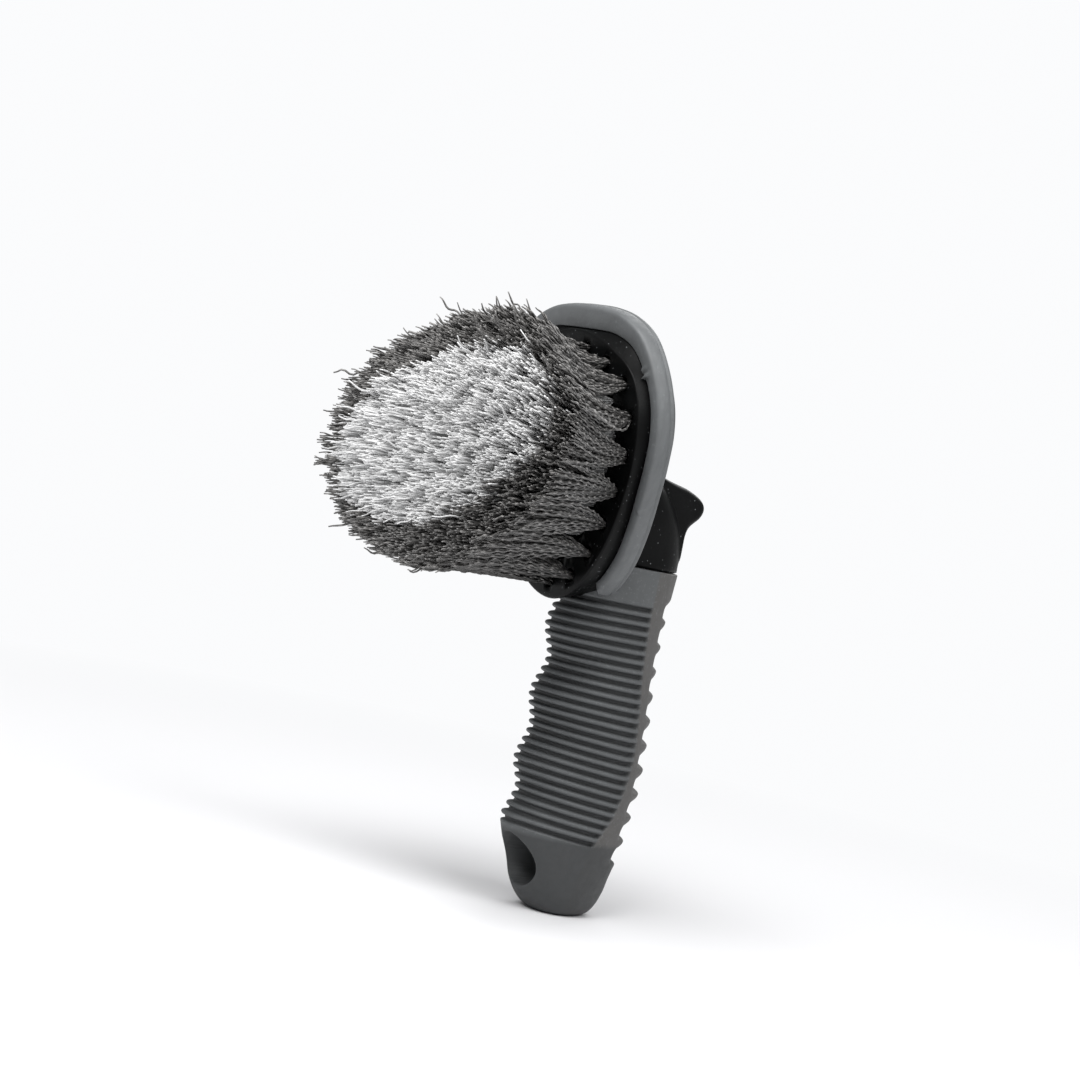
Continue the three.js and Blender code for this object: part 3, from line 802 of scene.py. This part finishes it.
def share_out_tips(tufts):
    """Fills the oval of tips evenly and gives each tip to the nearest tuft of its colour."""
    rng = np.random.default_rng(SEEDS["tips"])
    middle = (TIPS["low"] + TIPS["high"]) / 2
    half = np.array([TIPS["half_width"], (TIPS["high"] - TIPS["low"]) / 2])
    step = math.sqrt(math.pi * half[0] * half[1] / FIBRE["total"])
    columns = np.arange(-half[0], half[0], step)
    rows = np.arange(-half[1], half[1], step)
    grid = np.stack(np.meshgrid(columns, rows, indexing="ij"), axis=-1).reshape(-1, 2)
    grid += rng.uniform(-TIPS["jitter"], TIPS["jitter"], grid.shape) * step
    reach = np.linalg.norm(grid / half, axis=1)
    grid = grid[reach < 1 + rng.normal(0, TIPS["ragged"], len(grid))] + (0, middle)
    grid, longer = into_clumps(grid, rng)
    centres = np.array([[tip[0], tip[2] - HEAD_BASE_Z] for _, tip in tufts.values()])
    dark_tuft = np.array([row_of(name) in DARK_ROWS for name in tufts])
    light = LIGHT_TIPS
    off = grid[:, 1] - light["middle"] - light["slope"] * grid[:, 0]
    inside = np.hypot(grid[:, 0] / light["half_width"], off / light["half_height"])
    dark_tip = inside + rng.normal(0, light["ragged"], len(grid)) > 1
    blur = rng.normal(0, OWNER["blur"], grid.shape)
    offsets = (grid + blur)[:, None] - centres[None]
    away = np.linalg.norm(offsets * np.array(OWNER["stretch"]), axis=2)
    away[dark_tip[:, None] != dark_tuft[None]] = np.inf
    owner = away.argmin(axis=1)
    tips = np.column_stack([grid, longer])
    return {name: tips[owner == i] for i, name in enumerate(tufts)}


def into_clumps(grid, rng):
    """Draws the tips together in clumps; also returns how much longer each tip's clump is than the rest."""
    low, high = grid.min(axis=0), grid.max(axis=0)
    count = int(np.prod(high - low) / CLUMP["apart"] ** 2)
    centres = rng.uniform(low, high, (count, 2))
    nearest = np.array([np.hypot(*(centres - place).T).argmin() for place in grid])
    pull = CLUMP["pull"] * rng.uniform(*CLUMP["varies"], len(grid))[:, None]
    longer = rng.normal(0, CLUMP["uneven"], count)
    return grid + (centres[nearest] - grid) * pull, longer[nearest]


def row_of(name):
    return int(name.split("_")[1][len("row"):])


def up_the_oval(flat):
    """How high tips lie on the oval, from -1 at the bottom to 1 at the top."""
    middle = (TIPS["low"] + TIPS["high"]) / 2
    return (flat[:, 1] - middle) / (TIPS["high"] - middle)


def placed_tips(flat, rng):
    """Tips in space from their places on the oval: taller on one side, shorter at the top and the sides."""
    u = flat[:, 0] / TIPS["half_width"]
    height = TIPS["low"] + (flat[:, 1] - TIPS["low"]) * (1 + TIPS["skew"] * u)
    short = SHORTER["top"] * smoothstep(up_the_oval(flat), SHORTER["top_from"], 1.0)
    at_sides = SHORTER["sides"] * smoothstep(np.abs(u), SHORTER["sides_from"], 1.0)
    short += at_sides + SHORTER["near"] * smoothstep(u, SHORTER["near_from"], 1.0)
    y = TIPS["y"] + short - flat[:, 2] + rng.normal(0, FIBRE["uneven"], len(flat))
    return np.stack([flat[:, 0], y, HEAD_BASE_Z + height], axis=-1)


def fibre_lines(tuft, flat, crimp, rng):
    """The centre lines of one tuft's fibres, as [fibre, step, xyz], and how near each step is to a crest."""
    root = tuft[0]
    count, steps = len(flat), FIBRE["steps"]
    end = placed_tips(flat, rng)
    middle = end.mean(axis=0)
    spread = end - middle
    spread[:, 1] = 0
    spread /= max(np.abs(spread).max(), 1.0)
    start = root + spread * TUFT_ROOT_RADIUS
    wild = rng.random(count) < WILD["share"]
    end += rng.normal(0, WILD["astray"], (count, 3)) * wild[:, None]
    end[:, 1] -= rng.exponential(WILD["longer"], count) * wild
    end[:, 1] = np.maximum(end[:, 1], TIPS["y"] - FIBRE["longest"])
    s = np.linspace(-ALONG["buried"], 1, steps + 1)
    # the bundle opens out of the hole, some fibres sooner than others
    haste = rng.uniform(*VARIETY["haste"], count)
    opened = (1 - (1 - np.clip(s, 0, 1)) ** haste[:, None])[:, :, None]
    trunk = root + (middle - root) * s[:, None]
    lines = trunk[None] + (start - root)[:, None] * (1 - opened) + (end - middle)[:, None] * opened
    whole = end - start
    length = np.linalg.norm(whole, axis=1)
    axis = whole / length[:, None]
    side = np.cross(axis, (0.0, 0.0, 1.0))
    side /= np.linalg.norm(side, axis=1)[:, None]
    over = np.cross(side, axis)
    # the crimp is a flat wave, mostly up and down
    plane = math.pi / 2 + rng.normal(0, VARIETY["plane"], count)
    across = side * np.cos(plane)[:, None] + over * np.sin(plane)[:, None]
    wave = FIBRE["wave"] * rng.normal(1, VARIETY["wave"], count)
    phase = rng.random(count) * 2 * np.pi
    swing = np.sin(2 * np.pi * length[:, None] * s / wave[:, None] + phase[:, None])
    size = crimp * rng.uniform(*VARIETY["crimp"], count) * (1 + WILD["crimp"] * wild)
    grown = smoothstep(s, 0, ALONG["crimp_full"])
    lines += across[:, None] * (swing * size[:, None] * grown)[:, :, None]
    # a slow bend of the whole fibre, and a curl at its tip
    bend = rng.normal(0, VARIETY["bend"], (count, 2))
    up = up_the_oval(flat)
    bend[:, 1] -= SAG["bottom"] + (SAG["top"] - SAG["bottom"]) * smoothstep(up, -1, 1)
    curl = rng.normal(0, VARIETY["curl"], (count, 2))
    curl = curl + wild[:, None] * rng.normal(0, WILD["curl"], (count, 2))
    outward = wild * np.sign(up) * rng.exponential(WILD["outward"], count)
    curl[:, 1] += outward * smoothstep(np.abs(up), *WILD["outside"])
    drift = bend[:, None] * np.sin(np.pi * np.clip(s, 0, 1))[None, :, None]
    first, span = ALONG["curl"]
    drift = drift + curl[:, None] * (np.clip((s - first) / span, 0, 1) ** 2)[None, :, None]
    return lines + drift[:, :, :1] * side[:, None] + drift[:, :, 1:] * over[:, None], swing


def tube_mesh(name, lines, radii, swing, rng):
    """Thin tubes along the lines, as one mesh.

    Its points also hold their strand's shade, how far along it they are and how near a crest of the crimp.
    """
    count, size = lines.shape[:2]
    sides = FIBRE["sides"]
    along = np.gradient(lines, axis=1)
    along /= np.linalg.norm(along, axis=2, keepdims=True)
    side = np.cross(along, (0.0, 0.0, 1.0))
    side /= np.linalg.norm(side, axis=2, keepdims=True)
    over = np.cross(side, along)
    turn = (np.arange(sides) * 2 * np.pi / sides)[None, None, :, None]
    ring = side[:, :, None] * np.cos(turn) + over[:, :, None] * np.sin(turn)
    points = lines[:, :, None] + ring * radii[:, :, None, None]
    base = (np.arange(count) * size * sides)[:, None, None]
    level = (np.arange(size - 1) * sides)[None, :, None]
    j = np.arange(sides)[None, None, :]
    k = (j + 1) % sides
    near, far = base + level, base + level + sides
    quads = np.stack([near + j, near + k, far + k, far + j], -1)
    root_cap = base[:, 0] + np.arange(sides)[::-1]
    tip_cap = base[:, 0] + (size - 1) * sides + np.arange(sides)
    caps = np.concatenate([root_cap, tip_cap])
    obj = fast_mesh(name, points.reshape(-1, 3), quads.reshape(-1, 4), caps)
    add_float(obj, "strand", np.repeat(rng.random(count), size * sides))
    add_float(obj, "along", np.tile(np.repeat(np.linspace(0, 1, size), sides), count))
    add_float(obj, "crest_glint", np.repeat(swing.ravel(), sides))
    return obj


def fast_mesh(name, points, quads, caps):
    """A smooth-shaded object from arrays of points in millimetres, four-sided faces and end caps."""
    mesh = bpy.data.meshes.new(name)
    mesh.vertices.add(len(points))
    mesh.vertices.foreach_set("co", (points * MM).ravel())
    corners = np.concatenate([quads.ravel(), caps.ravel()])
    sizes = np.concatenate([np.full(len(quads), 4), np.full(len(caps), caps.shape[1])])
    mesh.loops.add(len(corners))
    mesh.loops.foreach_set("vertex_index", corners)
    mesh.polygons.add(len(sizes))
    mesh.polygons.foreach_set("loop_start", np.concatenate([[0], np.cumsum(sizes)[:-1]]))
    mesh.polygons.foreach_set("use_smooth", np.ones(len(sizes), bool))
    mesh.update(calc_edges=True)
    obj = bpy.data.objects.new(name, mesh)
    bpy.context.scene.collection.objects.link(obj)
    return obj


def make_tuft(name, tuft, flat, crimp, seed):
    rng = np.random.default_rng(seed)
    lines, swing = fibre_lines(tuft, flat, crimp, rng)
    s = np.linspace(0, 1, lines.shape[1])
    # the bundle is packed tight in its hole, and each fibre thins a little at its tip
    packed = PACKED + (1 - PACKED) * smoothstep(s, 0, ALONG["loose"])
    thin = packed * (1 - THINNING * smoothstep(s, ALONG["thins"], 1))
    radii = FIBRE["radius"] * rng.uniform(*VARIETY["thickness"], len(lines))[:, None] * thin
    return tube_mesh(name, lines, radii, swing, rng)


# ---- The brush ----

def finish_piece(obj, material, slot, *nodes):
    obj.data.materials.clear()
    obj.data.materials.append(material)
    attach(obj, "root")
    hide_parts(*nodes)


def make_brush():
    tufts = read_tufts()
    finish_piece(make_grip(), grip_rubber(), "grip_rubber", "grip")
    finish_piece(make_core(tufts), core_plastic(), "core_plastic", "core")
    finish_piece(make_bumper(), bumper_rubber(), "bumper_rubber", "bumper")
    fibres = {"bristle_dark": dark_fibre(), "bristle_light": light_fibre()}
    tips = share_out_tips(tufts)
    for number, (name, tuft) in enumerate(sorted(tufts.items())):
        shade = "dark" if row_of(name) in DARK_ROWS else "light"
        seed = SEEDS["first_tuft"] + number
        obj = make_tuft(name.replace("tuft", "bristles"), tuft, tips[name], CRIMP[shade], seed)
        slot = "bristle_" + shade
        finish_piece(obj, fibres[slot], slot, name)


# ---- Studio ----

SKY = (0.965, 0.97, 0.98)
FILL = 0.35
FLOOR = {"sides": 96, "z": -0.05, "colour": (0.7, 0.7, 0.71, 1), "fades": (0.10, 0.55)}
FLOOR_RADII = (60, 120, 240, 500, 1200, 4000, 20000)
# name, azimuth, elevation, distance, size and power; azimuth 0 is in front of the bristles
LAMPS = (
    ("key", 20, 52, 1.1, 0.8, 16),
    ("side", 100, 45, 0.9, 0.7, 5.5),
    ("back", 215, 40, 1.2, 0.8, 5),
)
LAMP_AIM = (0, -0.02, 0.13)


def make_floor():
    """A large pale disc; far out it takes the tone of the sky so that no horizon shows."""
    sides, z = FLOOR["sides"], FLOOR["z"]
    turn = np.arange(sides) * 2 * np.pi / sides
    points = [(0, 0, z)]
    faces = []
    for ring, radius in enumerate(FLOOR_RADII):
        points += [(radius * math.cos(a), radius * math.sin(a), z) for a in turn]
        first = 1 + ring * sides
        for j in range(sides):
            a, b = first + j, first + (j + 1) % sides
            faces.append([0, a, b] if ring == 0 else [a - sides, a, b, b - sides])
    floor = mesh_object("floor", np.array(points), faces)
    floor.data.materials.append(floor_material())


def floor_material():
    n = Nodes("floor")
    n.shader.inputs["Base Color"].default_value = FLOOR["colour"]
    n.shader.inputs["Roughness"].default_value = 0.9
    n.shader.inputs["Specular IOR Level"].default_value = 0.1
    glow = n.tree.nodes.new("ShaderNodeEmission")
    glow.inputs["Color"].default_value = (*SKY, 1)
    far = n.tree.nodes.new("ShaderNodeVectorMath")
    far.operation = "LENGTH"
    n.link(n.place, far.inputs[0])
    blend = n.tree.nodes.new("ShaderNodeMixShader")
    n.link(n.remap(far.outputs["Value"], *FLOOR["fades"], 0, 1), blend.inputs[0])
    n.link(n.shader.outputs[0], blend.inputs[1])
    n.link(glow.outputs[0], blend.inputs[2])
    n.link(blend.outputs[0], n.tree.nodes["Material Output"].inputs["Surface"])
    return n.material


def make_world():
    world = bpy.data.worlds.new("studio")
    world.use_nodes = True
    background = world.node_tree.nodes["Background"]
    background.inputs["Color"].default_value = (*SKY, 1)
    background.inputs["Strength"].default_value = 1.0
    # the pale backdrop as seen, and a softer fill as light
    tree = world.node_tree
    fill = tree.nodes.new("ShaderNodeBackground")
    fill.inputs["Color"].default_value = (*SKY, 1)
    fill.inputs["Strength"].default_value = FILL
    blend = tree.nodes.new("ShaderNodeMixShader")
    seen = tree.nodes.new("ShaderNodeLightPath").outputs["Is Camera Ray"]
    tree.links.new(seen, blend.inputs[0])
    tree.links.new(fill.outputs[0], blend.inputs[1])
    tree.links.new(background.outputs[0], blend.inputs[2])
    tree.links.new(blend.outputs[0], tree.nodes["World Output"].inputs["Surface"])
    bpy.context.scene.world = world


def area_light(name, azimuth, elevation, distance, size, power):
    """A soft square lamp that looks at the middle of the brush."""
    aim = Vector(LAMP_AIM)
    a, e = math.radians(azimuth), math.radians(elevation)
    away = Vector((math.sin(a) * math.cos(e), -math.cos(a) * math.cos(e), math.sin(e)))
    lamp = bpy.data.lights.new(name, "AREA")
    lamp.size = size
    lamp.energy = power
    obj = bpy.data.objects.new(name, lamp)
    obj.location = aim + away * distance
    obj.rotation_euler = away.to_track_quat("Z", "Y").to_euler()
    bpy.context.scene.collection.objects.link(obj)


def make_camera():
    c = CAMERA
    turn = Matrix.Rotation(math.radians(c["azimuth"]), 4, "Z")
    turn = turn @ Matrix.Rotation(math.radians(90 + c["elevation"]), 4, "X")
    turn = turn @ Matrix.Rotation(math.radians(c["roll"]), 4, "Z")
    back = turn.to_3x3() @ Vector((0, 0, 1))
    camera = bpy.data.cameras.new("camera")
    camera.lens = c["lens"]
    camera.sensor_width = 36
    obj = bpy.data.objects.new("camera", camera)
    obj.matrix_world = Matrix.Translation(Vector(c["aim"]) + back * c["distance"]) @ turn
    bpy.context.scene.collection.objects.link(obj)
    bpy.context.scene.camera = obj


make_camera()
make_brush()
make_world()
for lamp in LAMPS:
    area_light(*lamp)
make_floor()
bpy.context.scene.view_settings.view_transform = "Standard"
